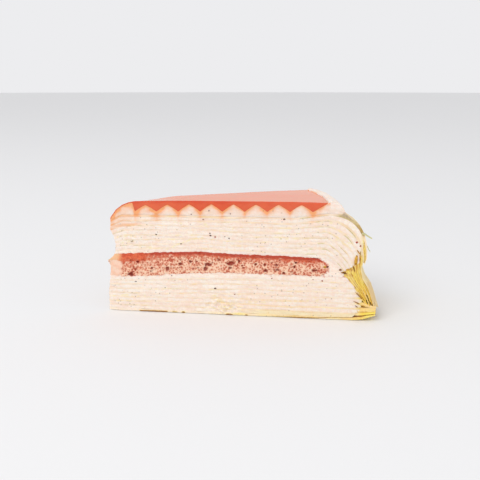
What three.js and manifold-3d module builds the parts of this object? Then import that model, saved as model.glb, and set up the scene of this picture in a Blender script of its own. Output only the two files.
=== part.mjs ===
// One slice of a tall crepe cake, in millimetres, +Z up, standing on its bottom crepe.
// The slice points along -X and its rim faces +X. It is cut from a round cake, so every layer is
// described by a radius from the cake's axis, a height, and an angle across the slice.
import * as THREE from 'three';
import { mergeVertices } from 'three/addons/utils/BufferGeometryUtils.js';
import Module from 'manifold-3d';

const wasm = await Module();
wasm.setup();

// ---- driving dimensions -------------------------------------------------------------------------
const slicesInCake = 16;
const halfAngle = Math.PI / slicesInCake; // half the angle between the two cut faces
const tipHalfWidth = 0.8; // a knife never leaves a perfectly sharp tip
const skew = 0.018; // the far cut missed the middle of the cake, which makes that side shorter
const across = 5; // steps from one cut face to the other

const bottomCrepeThickness = 1.1;
const lowerCrepes = 7; // crepes between the bottom crepe and the sponge
const upperCrepes = 8; // crepes over the sponge, the last one being the outer skin
const crepeShare = 0.36; // a crepe's part of the pitch, the rest is cream
const spongeEnd = 94.6; // radius where the sponge stops, short of the rim
const jellyEnd = 94;
const ridgePitch = 9.54; // the cream is combed into rings this far apart
const firstValley = 11.6;
const ridges = 8;

// ---- outlines: [radius, height] or [height, radius] pairs joined by straight lines ---------------
const spongeBottomLine = [[0, 15.8], [20, 16.6], [40, 18.1], [57, 18.8], [120, 18.8]];
const spongeTopLine = [[0, 25.4], [25, 27], [40, 27.7], [57, 27], [75, 26.7], [93, 26.4], [94.6, 24.6]];
const jamThicknessLine = [[0, 3], [25, 2.2], [40, 1.3], [120, 1.2]];
const stackTopLine = [[0, 40.2], [6, 43.1], [80, 43.4], [94, 45.6]];
const lowerStackEndLine = [[1.1, 104], [5, 107], [9, 107.6], [13, 106.3], [16, 103.9], [18.8, 100.2]];
// How far the torn tip stands back from the cake's middle, or past it, at each height.
const tipLine = [[0, -1], [8, -1.1], [14, -0.4], [19, 0.2], [21, -0.4], [22.4, -1.2], [24.2, 1.4], [26, 2.4],
  [30.3, 2.6], [34, 1.6], [36.2, 0.4], [40, 0.7], [44, 0.6], [52, 0.6]];
const tipReach = 6; // radius up to which the tip's unevenness is felt
// The free edges of the upper crepes hang between these two curves, from the waist to the plate.
const hangInner = [[0, 100.3, 20.5], [0.17, 102.9, 18.3], [0.37, 105.9, 14.8],
  [0.58, 108.4, 11.6], [0.78, 110.3, 9], [1, 111.4, 7.3]];
const hangOuter = [[0, 109.4, 27], [0.17, 108.7, 22.9], [0.37, 109.6, 18.8],
  [0.58, 111.2, 15.2], [0.78, 112.1, 11.4], [1, 113, 7.9]];
const hangLengths = [0.95, 0.8, 1, 0.7, 0.9, 0.96, 1, 0.1]; // how far down each crepe's edge reaches
const hangDrop = 4.2; // how much lower the outermost edges reach, away from the near cut
const flareInner = 1.5; // how far the hanging edges swing out, away from the near cut
const flareOuter = 4.6;
const spreadCrepes = 2; // lower crepes whose edges reach out over the bottom crepe's
// Undersides of the two crepes above those whose edges reach past the stack too.
const droopLines = {
  3: [[109.2, 6.3], [112.2, 5.6], [114.4, 5.4]],
  6: [[107.1, 11.4], [109.1, 9.1], [110.4, 7.4]],
};

const flatStops = [0, 6, 12, 25, 40, 57, 80]; // radii at which the flat layers have vertices
const hangSteps = 5;

// Value of a line of [x, y, ...] points at x, for each y.
function along(line, x) {
  const last = line.length - 1;
  let k = 0;
  while (k < last - 1 && x > line[k + 1][0]) k += 1;
  const part = Math.min(1, Math.max(0, (x - line[k][0]) / (line[k + 1][0] - line[k][0])));
  return line[k].slice(1).map((y, n) => y + part * (line[k + 1][n + 1] - y));
}

const mix = (a, b, part) => a + (b - a) * part;

// A soft unevenness in height, different for each layer, and nothing at the rim or the tip.
function wave(r, s, layer) {
  const fade = Math.min(1, Math.max(0, r / 15)) * Math.min(1, Math.max(0, (96 - r) / 15));
  return 0.16 * fade * (Math.sin(r * 0.19 + layer * 2.1 + s) + Math.sin(r * 0.071 - layer * 1.3 - 2 * s));
}

// The hanging edges lie close to the stack at the near cut and stand off it further round the rim.
function flare(s) {
  const open = Math.min(1, Math.max(0, (s + 1) / 0.45));
  return open * open * (3 - 2 * open) * (0.82 + 0.18 * Math.sin(6.5 * s + 1.1));
}

// Folds of the crepe edges round the rim: always outwards, so that nothing is pushed into the stack.
function fold(s) {
  return 0.5 + 0.3 * Math.sin(8.3 * s + 0.6) + 0.2 * Math.sin(4.1 * s - 1.9);
}

// A point of the slice: s runs from -1 on one cut face to 1 on the other.
function place(r, z, s) {
  const angle = s * halfAngle;
  const torn = along(tipLine, z)[0] * Math.max(0, 1 - r / tipReach);
  const reach = (r + torn) * (1 - skew * (s + 1));
  return [reach * Math.cos(angle), reach * Math.sin(angle) + s * tipHalfWidth, z];
}

// A closed solid between two surfaces, each given as (step outwards, s) => point.
function slab(steps, lower, upper) {
  const rows = steps + 1;
  const columns = across + 1;
  const points = [];
  for (const surface of [lower, upper]) {
    for (let i = 0; i < rows; i += 1) {
      for (let j = 0; j < columns; j += 1) points.push(...surface(i, (2 * j) / across - 1));
    }
  }
  const low = (i, j) => i * columns + j;
  const high = (i, j) => rows * columns + low(i, j);
  const faces = [];
  const quad = (a, b, c, d) => faces.push(a, b, c, a, c, d);
  for (let i = 0; i < steps; i += 1) {
    for (let j = 0; j < across; j += 1) {
      quad(high(i, j), high(i + 1, j), high(i + 1, j + 1), high(i, j + 1));
      quad(low(i, j), low(i, j + 1), low(i + 1, j + 1), low(i + 1, j));
    }
    quad(low(i, 0), low(i + 1, 0), high(i + 1, 0), high(i, 0));
    quad(low(i, across), high(i, across), high(i + 1, across), low(i + 1, across));
  }
  for (let j = 0; j < across; j += 1) {
    quad(low(steps, j), low(steps, j + 1), high(steps, j + 1), high(steps, j));
    quad(low(0, j), high(0, j), high(0, j + 1), low(0, j + 1));
  }
  const geometry = new THREE.BufferGeometry();
  geometry.setAttribute('position', new THREE.Float32BufferAttribute(points, 3));
  geometry.setIndex(faces);
  return geometry;
}

// ---- joining solids -----------------------------------------------------------------------------
function solidOf(geometry) {
  const merged = mergeVertices(geometry);
  return new wasm.Manifold(new wasm.Mesh({
    numProp: 3,
    vertProperties: merged.attributes.position.array,
    triVerts: new Uint32Array(merged.index.array),
  }));
}

function geometryOf(solid) {
  const mesh = solid.getMesh();
  const geometry = new THREE.BufferGeometry();
  geometry.setAttribute('position', new THREE.BufferAttribute(new Float32Array(mesh.vertProperties), 3));
  geometry.setIndex(new THREE.BufferAttribute(mesh.triVerts, 1));
  return geometry;
}

// ---- materials ----------------------------------------------------------------------------------
const paint = (color, roughness) => new THREE.MeshStandardMaterial({ color, roughness, metalness: 0 });
const finishes = {
  cream: paint(0xfbe6d3, 0.6),
  crepe: paint(0xf2d9ae, 0.65),
  rimCrepe: paint(0xe3c478, 0.6),
  browned: paint(0xdcb173, 0.65),
  sponge: paint(0xd98a7e, 0.85),
  jam: paint(0xc24a3c, 0.4),
  jelly: paint(0xdc5a42, 0.15),
};

const slice = new THREE.Group();
function add(name, geometry, material) {
  geometry.computeVertexNormals();
  const mesh = new THREE.Mesh(geometry, material);
  mesh.name = name;
  slice.add(mesh);
}

// ---- bottom crepe -------------------------------------------------------------------------------
// Past the stack the edges of the lowest crepes lift off the plate and fan out.
const edgeStops = [104, 109.2, 113.6];

// A point of the fan: rank 0 is the underside of the bottom crepe, and out counts the edge stops.
function fanPoint(rank, out, s) {
  const r = edgeStops[out] + out * (0.3 * flare(s) + 0.2 * fold(s));
  const lift = [0, 1.1, 2.3][out];
  return place(r, lift + rank * mix(1.1, 0.62, out / 2), s);
}

// The underside rests on its four corners and all between them: its cuts are a hair hollow, and
// the rim's middle is clear of the plate.
const bottomStops = [...flatStops, 95];
const hollow = 0.998;
const rimClearance = 0.3;
function bottomSurface(rank) {
  return (i, s) => {
    if (i < bottomStops.length) {
      return place(bottomStops[i], rank * bottomCrepeThickness, rank === 0 && i > 0 ? s * hollow : s);
    }
    const out = i - bottomStops.length;
    if (rank === 0 && out === 0 && Math.abs(s) < 0.99) return place(edgeStops[0], rimClearance, s);
    return fanPoint(rank, out, s);
  };
}
add('bottom_crepe', slab(bottomStops.length + 2, bottomSurface(0), bottomSurface(1)), finishes.browned);

// ---- lower stack: cream, crepe, cream ... cream under the sponge ---------------------------------
const lowerStops = [...flatStops, 93, 100];
const lowerPitches = lowerCrepes + 1;

// Surface at a level counted in pitches above the bottom crepe.
function lowerSurface(level) {
  return (i, s) => {
    const isEnd = i === lowerStops.length - 1;
    const spongeBottom = along(spongeBottomLine, lowerStops[i])[0];
    const flat = mix(bottomCrepeThickness, spongeBottom, level / lowerPitches);
    const r = isEnd ? along(lowerStackEndLine, flat)[0] : lowerStops[i];
    const inside = level > 0 && level < lowerPitches;
    return place(r, flat + (inside ? wave(r, s, level) : 0), s);
  };
}

// The edge of a crepe higher up the lower stack. side: 0 on its underside, 1 on top.
function droopPoint(n, side, out, s) {
  const [r, z] = droopLines[n][out - 1];
  const slope = n === 3 ? 0.1 : 0.7; // leaning of the edge's thickness
  const swing = (out / 3) * (0.4 * flare(s) + 0.2 * fold(s));
  return place(r + swing + side * 0.55 * slope, z + side * 0.55, s);
}

for (let n = 1; n <= lowerPitches; n += 1) {
  const last = n === lowerPitches;
  const creamTop = last ? n : n - crepeShare;
  add(`lower_cream_${n}`, slab(lowerStops.length - 1, lowerSurface(n - 1), lowerSurface(creamTop)), finishes.cream);
  if (!last) {
    const surface = (level, rank) => (i, s) => {
      const out = i - lowerStops.length + 1;
      if (out <= 0) return lowerSurface(level)(i, s);
      return n <= spreadCrepes ? fanPoint(rank, out, s) : droopPoint(n, level === n ? 1 : 0, out, s);
    };
    const freeSteps = n <= spreadCrepes ? 2 : (droopLines[n] ?? []).length;
    add(`lower_crepe_${n}`, slab(
      lowerStops.length - 1 + freeSteps,
      surface(creamTop, 1.6 * n - 0.15),
      surface(n, 1.6 * n + 0.85),
    ), finishes.crepe);
  }
}

// ---- sponge, the jam spread on it, and the cream that closes its end -----------------------------
const spongeStops = [...flatStops, 93, spongeEnd];
const spongeSurface = (height) => (i, s) => place(spongeStops[i], height(spongeStops[i]), s);
const spongeBottom = (r) => along(spongeBottomLine, r)[0];
const spongeTop = (r) => along(spongeTopLine, r)[0];
const jamBottom = (r) => spongeTop(r) - along(jamThicknessLine, r)[0];
add('sponge', slab(spongeStops.length - 1, spongeSurface(spongeBottom), spongeSurface(jamBottom)), finishes.sponge);
add('berry_jam', slab(spongeStops.length - 1, spongeSurface(jamBottom), spongeSurface(spongeTop)), finishes.jam);

// ---- upper stack --------------------------------------------------------------------------------
// Every layer lies flat, bends over the rim on a quarter of a superellipse, and ends at the waist.
// t is 0 on the sponge and 1 on the outside of the skin.
const bendSteps = 6;
const bendPower = 2.2;
const upperFlat = flatStops.length; // the flat part's last vertex is where the bend starts
const upperSteps = upperFlat + bendSteps;

function bend(t, part) {
  const start = { r: mix(93, 94, t), z: mix(spongeTop(93), along(stackTopLine, 94)[0], t) };
  const waist = { r: mix(hangInner[0][1], hangOuter[0][1], t), z: mix(hangInner[0][2], hangOuter[0][2], t) };
  const angle = (part * Math.PI) / 2;
  return {
    r: start.r + (waist.r - start.r) * Math.sin(angle) ** (2 / bendPower),
    z: waist.z + (start.z - waist.z) * Math.cos(angle) ** (2 / bendPower),
  };
}

function upperSurface(t) {
  return (i, s) => {
    if (i < upperFlat) {
      const r = flatStops[i];
      const inside = t > 0 && t < 1;
      return place(r, mix(spongeTop(r), along(stackTopLine, r)[0], t) + (inside ? wave(r, s, 20 * t) : 0), s);
    }
    const part = (i - upperFlat) / bendSteps;
    const { r, z } = bend(t, part);
    return place(r + 0.9 * t * part * fold(s), z, s);
  };
}

// The free edge of a crepe below the waist, between the two hanging curves.
function hangPoint(t, tEnd, down, s) {
  const share = mix(t, tEnd, down);
  const [innerR, innerZ] = along(hangInner, down);
  const [outerR, outerZ] = along(hangOuter, down);
  const folds = 0.9 * t * (1 - down) * fold(s) + down ** 0.7 * mix(flareInner, flareOuter, share) * flare(s);
  const drop = hangDrop * down ** 2 * Math.max(0, 2 * share - 1) * flare(s);
  return place(mix(innerR, outerR, share) + folds, mix(innerZ, outerZ, share) - drop, s);
}

function upperCrepe(tBottom, tTop, tEnd, thicknessEnd, length) {
  const side = (tHere, tHereEnd) => {
    const surface = upperSurface(tHere);
    return (i, s) => (i <= upperSteps
      ? surface(i, s)
      : hangPoint(tHere, tHereEnd, (length * (i - upperSteps)) / hangSteps, s));
  };
  return slab(upperSteps + hangSteps, side(tBottom, tEnd), side(tTop, tEnd + thicknessEnd));
}

// Strips torn loose from the skin, as [s, radius and height at the root, length, droop].
const skinFlaps = [[-0.93, 106.8, 38.6, 5, 3.4], [-0.7, 109.2, 33, 3.4, 5.4], [0.35, 107.6, 36.5, 4, 4]];

function flap([s, r, z, length, droop]) {
  const steps = 4;
  const width = 0.022; // as a share of s
  const thickness = 0.5;
  const points = (side) => (i, sHere) => {
    const part = i / steps;
    const narrow = mix(1, 0.35, part);
    return place(r + length * part + side * thickness * narrow, z - droop * part ** 1.3, s + sHere * width * narrow);
  };
  return slab(steps, (i, sHere) => {
    const [x, y, zHere] = points(0)(i, sHere);
    return [x, y, zHere - thickness];
  }, points(0));
}

for (let n = 1; n <= upperCrepes; n += 1) {
  const creamBottom = (n - 1) / upperCrepes;
  const crepeBottom = (n - crepeShare) / upperCrepes;
  const crepeTop = n / upperCrepes;
  add(`upper_cream_${n}`, slab(upperSteps, upperSurface(creamBottom), upperSurface(crepeBottom)), finishes.cream);
  const length = hangLengths[n - 1];
  const endShare = (n - 1) * 0.14;
  let crepe = upperCrepe(crepeBottom, crepeTop, endShare, 0.1, length);
  if (n === upperCrepes) {
    const whole = skinFlaps.reduce((solid, spec) => solid.add(solidOf(flap(spec))), solidOf(crepe));
    crepe = geometryOf(whole);
  }
  add(`upper_crepe_${n}`, crepe, n >= upperCrepes - 1 ? finishes.rimCrepe : finishes.crepe);
}

// The cream that fills the corner between the sponge's end, the lower stack and the first upper layer.
const collarInner = spongeEnd + 0.1;
const collarSteps = bendSteps;
const collarBottom = spongeBottom(100) + 0.1;
add('rim_cream', slab(
  collarSteps,
  (i, s) => place(mix(collarInner, 100, i / collarSteps), collarBottom, s),
  (i, s) => {
    const r = mix(collarInner, 100, i / collarSteps);
    const rise = Math.max(0, 1 - ((r - 93) / 7.3) ** bendPower) ** (1 / bendPower);
    return place(r, 20.5 + (spongeTop(93) - 20.5) * rise - 0.35, s);
  },
), finishes.cream);

// ---- combed cream on top, with a smooth rim ------------------------------------------------------
const jellyTopLine = [[0, 41.6], [3, 45.2], [6, 47.3], [9, 48.5], [11.6, 49], [29, 49.6], [80, 50.2], [94, 50.1]];
const jellyTop = (r) => along(jellyTopLine, r)[0];
const film = 0.5; // thickness of the jelly over the tip, and of its outer edge
const valley = (r) => 44.3 + 0.02 * r;
const crest = (r) => along([[12, 47.2], [40, 48.3], [84, 48.9]], r)[0];
const ridgeStops = [0, 0.2, 0.42, 0.58, 0.8]; // steps across one ridge, rounded at its crest

// [radius, height] of the line between cream and jelly, from the tip to the jelly's edge.
const combLine = [0, 3, 6, 9, firstValley - 1].map((r) => [r, jellyTop(r) - film]);
for (let n = 0; n < ridges; n += 1) {
  for (const step of ridgeStops) {
    const r = firstValley + (n + step) * ridgePitch;
    const rise = 1 - Math.abs(2 * step - 1) ** 1.2;
    combLine.push([r, mix(valley(r), crest(r), rise)]);
  }
}
const lastValley = firstValley + ridges * ridgePitch;
combLine.push([lastValley, valley(lastValley)], [jellyEnd, jellyTop(jellyEnd) - 0.3]);

const combSurface = (i, s) => place(combLine[i][0], combLine[i][1], s);
add('jelly', slab(
  combLine.length - 1,
  combSurface,
  (i, s) => place(combLine[i][0], jellyTop(combLine[i][0]), s),
), finishes.jelly);

const rimLine = [[94.3, 50.6], [95.3, 50.8], [97, 50.1], [98.8, 48.7], [100.4, 47], [101, 45.7]];
const creamTopLine = [...combLine, ...rimLine];
const skinTop = (r) => {
  if (r < 94) return along(stackTopLine, r)[0];
  return 27 + 18.6 * Math.max(0, 1 - ((r - 94) / 15.4) ** bendPower) ** (1 / bendPower);
};
add('combed_cream', slab(
  creamTopLine.length - 1,
  (i, s) => place(creamTopLine[i][0], skinTop(creamTopLine[i][0]) + 0.25, s),
  (i, s) => place(creamTopLine[i][0], creamTopLine[i][1], s),
), finishes.cream);

// ---- the part's origin is the middle of the slice's footprint -------------------------------------
const bounds = new THREE.Box3().setFromObject(slice);
const middle = bounds.getCenter(new THREE.Vector3());
slice.position.set(-middle.x, -middle.y, -bounds.min.z);

export default slice;
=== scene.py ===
import bmesh
import bpy
import math
from mathutils import Matrix, Vector, noise


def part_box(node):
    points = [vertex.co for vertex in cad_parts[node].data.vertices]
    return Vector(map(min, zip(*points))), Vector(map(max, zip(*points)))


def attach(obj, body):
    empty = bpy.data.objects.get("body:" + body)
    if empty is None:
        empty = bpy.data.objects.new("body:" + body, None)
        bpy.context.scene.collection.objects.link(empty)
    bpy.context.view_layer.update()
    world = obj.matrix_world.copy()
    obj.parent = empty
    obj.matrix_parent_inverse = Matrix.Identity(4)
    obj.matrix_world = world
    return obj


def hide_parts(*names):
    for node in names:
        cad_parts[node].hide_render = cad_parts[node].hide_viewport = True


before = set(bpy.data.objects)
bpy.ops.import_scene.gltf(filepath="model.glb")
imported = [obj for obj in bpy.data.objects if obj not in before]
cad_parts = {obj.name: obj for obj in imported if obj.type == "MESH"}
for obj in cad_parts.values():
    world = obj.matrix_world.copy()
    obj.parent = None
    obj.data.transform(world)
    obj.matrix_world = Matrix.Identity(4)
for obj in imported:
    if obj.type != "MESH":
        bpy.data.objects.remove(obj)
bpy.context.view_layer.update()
print("frame loaded")

# Lengths are millimetres, and radii are from the cake's axis, which is at the slice's tip. On every layer
# s is the side, -1 at the near cut and 1 at the far cut, u runs along the layer and w up through it.
cake = {
    "slicesInCake": 16,
    "tipHalfWidth": 0.8,
    "tipBlunt": 0.35,   # share of that width at the very tip
    "tipLength": 6,   # how far from the tip its torn outline reaches
    "tipHeight": 22.4,   # where the sponge's tip stands out furthest
    "tipShare": 0.986,   # and how much of its outline the sponge's box has there
    "skew": 0.018,   # the far cut missed the middle, so that side is shorter
    "bottomCrepe": 1.1,
    "lowerCrepes": 7,
    "upperCrepes": 8,
    "crepeShare": 0.36,   # of a pitch, the rest is cream
    "spongeEnd": 94.6,
    "jellyEnd": 94.0,
    "ridgePitch": 9.54,
    "firstValley": 11.6,
    "ridges": 8,
}
halfAngle = math.pi / cake["slicesInCake"]
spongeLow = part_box("sponge")[0]
middleY = spongeLow.y + (cake["spongeEnd"] * math.sin(halfAngle) + cake["tipHalfWidth"]) / 1000

# Heights over the radius.
spongeBottomLine = [(0, 15.8), (20, 16.6), (40, 18.1), (57, 18.8), (120, 18.8)]
spongeTopLine = [(0, 25.4), (25, 27), (40, 27.7), (57, 27), (75, 27), (93, 26.4), (94.6, 24.6)]
stackTopLine = [(0, 40.2), (6, 43.1), (80, 43.4), (94, 45.6)]
jellyTopLine = [(0, 41.6), (3, 45.2), (6, 47.3), (9, 48.5), (11.6, 49), (29, 49.6), (80, 50.2), (94, 50.1)]
valleyLine = [(0, 44.3), (100, 46.3)]
crestLine = [(12, 47.2), (40, 48.3), (84, 48.9)]
rimLine = [(94, 49.9), (94.4, 50.7), (96, 50.9), (98, 50.4), (99.7, 49.1), (100.9, 47.4), (101.4, 45.8)]
# Radii over the height, where the lower stack and the sponge end, and how far the tip stands back.
lowerEndLine = [(1.1, 105), (3, 107.4), (5, 108.9), (9, 109.3), (11, 108.4), (13, 107.2), (16, 104.7),
                (18.8, 101.9)]
spongeEndLine = [(18.8, 91.5), (20, 93.4), (22.2, 95), (24.6, 93.6), (26.4, 90.5)]
tipLine = [(0, -1), (8, -1.1), (14, -0.4), (19, 0.2), (21, -0.4), (22.4, -1.2), (24.2, 1.4), (26, 2.4),
           (30.3, 2.6), (34, 1.6), (36.2, 0.4), (40, 0.7), (44, 0.6), (52, 0.6)]


def lineAt(line, x):   # what a line of points says at x, held past its ends
    k = 0
    while k < len(line) - 2 and x > line[k + 1][0]:
        k += 1
    part = min(1.0, max(0.0, (x - line[k][0]) / (line[k + 1][0] - line[k][0])))
    found = [a + part * (b - a) for a, b in zip(line[k][1:], line[k + 1][1:])]
    return found[0] if len(found) == 1 else found


def blend(a, b, part):
    return a + (b - a) * part


def step(low, high, x):   # 0 before low, 1 after high, soft between
    part = min(1.0, max(0.0, (x - low) / (high - low)))
    return part * part * (3 - 2 * part)


def rough(x, y, z=0.0):   # smooth noise, about -1 to 1
    return noise.noise(Vector((x, y, z)))


def shift(s, far=9.0):   # moves the noise, so that the two cuts differ
    return far if s > 0 else 0.0


def wave(r, s, layer):   # no layer is quite flat
    fade = min(1, max(0, r / 15)) * min(1, max(0, (96 - r) / 15))
    return 0.16 * fade * (math.sin(r * 0.19 + layer * 2.1 + s) + math.sin(r * 0.071 - layer * 1.3 - 2 * s))


def fold(s):   # soft folds in the hanging edges, round the rim
    return 0.5 + 0.3 * math.sin(8.3 * s + 0.6) + 0.2 * math.sin(4.1 * s - 1.9)


def flare(s):   # how far those edges stand off, none at the near cut
    return step(-1, -0.55, s) * (0.82 + 0.18 * math.sin(6.5 * s + 1.1))


tipX = spongeLow.x - cake["tipShare"] * lineAt(tipLine, cake["tipHeight"]) / 1000


def place(r, z, s, out=0.0):   # out: away from the slice's middle, square to the cut
    angle = s * halfAngle
    reach = r * (1 - cake["skew"] * (s + 1))
    side = s * cake["tipHalfWidth"] * min(1, cake["tipBlunt"] + max(r, 0) / cake["tipLength"])
    side += out if s > 0 else -out
    return Vector((tipX + reach * math.cos(angle) / 1000,
                   middleY + (reach * math.sin(angle) + side) / 1000, z / 1000))


# Low on the cut the knife has dragged the cream into lumps.
curdle = {"radius": 51, "height": 4, "halfLong": 9, "halfHigh": 4.5, "depth": 1.3}


def curdled(r, z):
    return math.exp(-((r - curdle["radius"]) / curdle["halfLong"]) ** 2
                    - ((z - curdle["height"]) / curdle["halfHigh"]) ** 2)


relief = {"broad": 0.18, "drag": 0.12, "fine": 0.12, "lumps": 0.1}


def cutRelief(r, z, s):   # how far a knife's drag leaves the cut face in or out
    side = shift(s)
    out = relief["broad"] * rough(r / 17 + side, z / 9, 3.1)
    out += relief["drag"] * rough(r / 6.5 + side, z / 0.75, 7.7)
    out += relief["fine"] * rough(r / 1.3 + side, z / 0.9, 1.3)
    out += relief["lumps"] * rough(r / 2.1 + side, z / 1.5, 5.1)
    return out + curdle["depth"] * curdled(r, z) * rough(r / 1.9 + z / 3 + side, z / 1.4, 5.1)


def crease(r, z, s):   # golden crepe showing between the lumps
    ridge = 1 - abs(rough(r / 2.4 + z / 3 + shift(s), z / 1.7, 8.2)) * 9
    return max(0, ridge) * curdled(r, z)


def jellyTop(r):
    return lineAt(jellyTopLine, r)


def dip(r, s):   # near the tip the top falls away from the near cut
    return 1.1 * step(34, 13, r) * (s + 1) / 2


def combHeight(r):   # the line between the combed cream and the jelly
    first, pitch = cake["firstValley"], cake["ridgePitch"]
    last = first + cake["ridges"] * pitch
    film = jellyTop(r) - 0.5
    if r < first - 1:
        return film
    if r < first:
        return blend(film, lineAt(valleyLine, r), r - first + 1)
    if r > last:
        end = cake["jellyEnd"]
        return blend(lineAt(valleyLine, last), jellyTop(end) - 0.3, (r - last) / (end - last))
    phase = (r - first) / pitch % 1
    return blend(lineAt(valleyLine, r), lineAt(crestLine, r), 1 - abs(2 * phase - 1) ** 1.2)


# Thin marks on the near cut: crepe showing yellow and jelly's stain, each a path of radius and height.
cutMarks = {"yellowWidth": 0.65, "yellowStrength": 0.3, "stainWidth": 0.9, "stainStrength": 0.6}
yellowLines = [[(25.2, 28.3), (28, 29.5), (31.1, 31), (35.1, 32.5), (38.2, 33.4), (42.9, 33.9)],
               [(3.3, 30.3), (7, 30.9), (10.6, 31.4)], [(3.2, 33.1), (8.6, 33.7), (13.4, 33.4)],
               [(12.5, 29), (21.2, 28.9), (23.6, 28.6)], [(0.4, 6), (6.6, 7.3), (9.8, 6.4), (14.7, 7.2)],
               [(2.4, 4.2), (5.7, 4.6), (8.9, 4.3), (14.2, 4.5)], [(69.7, 7.3), (80.5, 7.3), (91.6, 8.2)],
               [(78.6, 4.4), (91.7, 5.4)], [(61.6, 6.1), (71.7, 6.5)], [(28.6, 40.5), (31.7, 39.8)],
               [(54.7, 38.1), (58.9, 39)], [(40.1, 40.8), (42.4, 39.7)], [(74.4, 34.5), (85.7, 34.8)],
               [(45.6, 6.2), (46.8, 8.3)], [(50.3, 1.6), (55, 4.2)], [(58.1, 2.3), (60.5, 8.1)],
               [(43.6, 8.2), (49.5, 8.8)], [(88.9, 39), (93.8, 38), (98.4, 35.6), (104.1, 33.1)],
               [(91.1, 42), (96.3, 41.8), (104.6, 40)], [(97.5, 39.1), (101.3, 37.3), (106.6, 35.5)],
               [(98.4, 34.5), (104.1, 31.2)], [(100.1, 27.9), (103.6, 23.4)]]
stainLines = [[(1.2, 37.8), (5.6, 38.3), (10.4, 38.8), (15.6, 39.4)],
              [(1.3, 40.6), (3.3, 42.2), (8.9, 42.5), (15, 42.7)]]


def onLine(lines, width, r, z):   # 1 on any of the lines, 0 further off than their width
    near = width
    for line in lines:
        if line[0][0] - 1 < r < line[-1][0] + 1:
            near = min(near, abs(z - lineAt(line, r)) + 0.2 * rough(r / 0.9, z, 3.7))
    return step(width, 0.3 * width, near)


# Stain of the jelly: at the tip and its edge, right under the jelly, below its valleys, and how deep.
seep = {"tip": 0.48, "edge": 0.4, "under": 0.7, "valley": 1.1, "underDeep": 0.8, "valleyDeep": 1.6,
        "allDeep": 2.6}


def stainAt(r, z):   # where jelly has seeped into the cream
    stain = 0.0
    if 34 < z < 50:
        stain = seep["tip"] * step(15, 2, r) * step(34, 42, z)
        stain += seep["edge"] * step(3, 0, r) * step(33, 37, z)
    if r < cake["jellyEnd"] + 1 and 39 < z < 50:
        below = max(0, combHeight(r) - z)
        phase = (r - cake["firstValley"]) / cake["ridgePitch"]
        fromValley = abs(phase - round(phase)) * cake["ridgePitch"]
        seeped = seep["under"] * math.exp(-below / seep["underDeep"])
        seeped += seep["valley"] * math.exp((-fromValley - below) / seep["valleyDeep"])
        patches = (0.35 + 0.25 * step(45, 20, r)) * (1 + 1.1 * rough(r / 8.5, 9.1))
        seeped += patches * math.exp(-below / seep["allDeep"])
        uneven = 1 + 0.7 * rough(r / 2.7, z / 1.6, 4.4)
        stain = max(stain, seeped * uneven * blend(1.25, 0.9, step(20, 80, r)))
    return min(1.0, stain)


def solid(name, bm):
    mesh = bpy.data.meshes.new(name)
    bm.to_mesh(mesh)
    bm.free()
    mesh.shade_smooth()
    mesh.set_sharp_from_angle(angle=math.radians(50))
    piece = bpy.data.objects.new(name, mesh)
    bpy.context.scene.collection.objects.link(piece)
    return piece


def grid(along, through, x, y):   # one long and one high, with its middle at x, y
    bm = bmesh.new()
    bmesh.ops.create_grid(bm, x_segments=along, y_segments=through, size=0.5,
                          matrix=Matrix.Translation((x, y, 0)))
    return bm


def wedge(name, surface, along, through, across, soak=1.0):
    # A flat profile is spun round the cake's axis, then surface(u, w, s) gives each point its place:
    # radius, height, how far it stands out of the cut, its browning (on the sponge, painted shade in its
    # pores), its yellowing (on the jelly, its paler top, a painted reflection) and, where it has one of its
    # own, its stain.
    bm = grid(along, through, 1.5, 0.5)
    u = bm.verts.layers.float.new("u")
    w = bm.verts.layers.float.new("w")
    for vert in bm.verts:
        vert[u], vert[w] = vert.co.x - 1, vert.co.y
    bmesh.ops.rotate(bm, verts=bm.verts, cent=(0, 0, 0), matrix=Matrix.Rotation(math.pi / 2, 3, "X"))
    bmesh.ops.rotate(bm, verts=bm.verts, cent=(0, 0, 0), matrix=Matrix.Rotation(-halfAngle, 3, "Z"))
    bmesh.ops.spin(bm, geom=bm.verts[:] + bm.edges[:] + bm.faces[:], cent=(0, 0, 0), axis=(0, 0, 1),
                   angle=2 * halfAngle, steps=across, use_merge=False)
    layers = [bm.verts.layers.float.new(key) for key in ("stain", "brown", "yellow")]
    for vert in bm.verts:
        s = max(-1, min(1, math.atan2(vert.co.y, vert.co.x) / halfAngle))
        r, z, out, brown, yellow, *stained = surface(vert[u], vert[w], s)
        torn = (lineAt(tipLine, z) + 0.35 * rough(z / 1.3, s * 2, 6)) * max(0, 1 - r / cake["tipLength"])
        vert.co = place(r + torn, z, s, out if abs(s) > 0.99 else 0)
        stain = stained[0] if stained else min(1, soak * stainAt(r, z))
        if s < -0.99:
            broken = step(-0.3, 0.25, rough(r / 1.3, z / 2, 2.9))
            showing = broken * onLine(yellowLines, cutMarks["yellowWidth"], r, z)
            seeped = onLine(stainLines, cutMarks["stainWidth"], r, z) * step(17, 10, r)
            yellow = max(yellow, cutMarks["yellowStrength"] * showing)
            stain = max(stain, cutMarks["stainStrength"] * seeped)
        for layer, value in zip(layers, (stain, brown, yellow)):
            vert[layer] = value
    bmesh.ops.recalc_face_normals(bm, faces=bm.faces[:])
    return solid(name, bm)


def finishPiece(piece, material, slot, *nodes):
    piece.data.materials.append(material)
    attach(piece, "root")
    if nodes:
        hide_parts(*nodes)


def tone(hexCode):
    parts = [int(hexCode[k:k + 2], 16) / 255 for k in (0, 2, 4)]
    return (*[p / 12.92 if p <= 0.04045 else ((p + 0.055) / 1.055) ** 2.4 for p in parts], 1)


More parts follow.
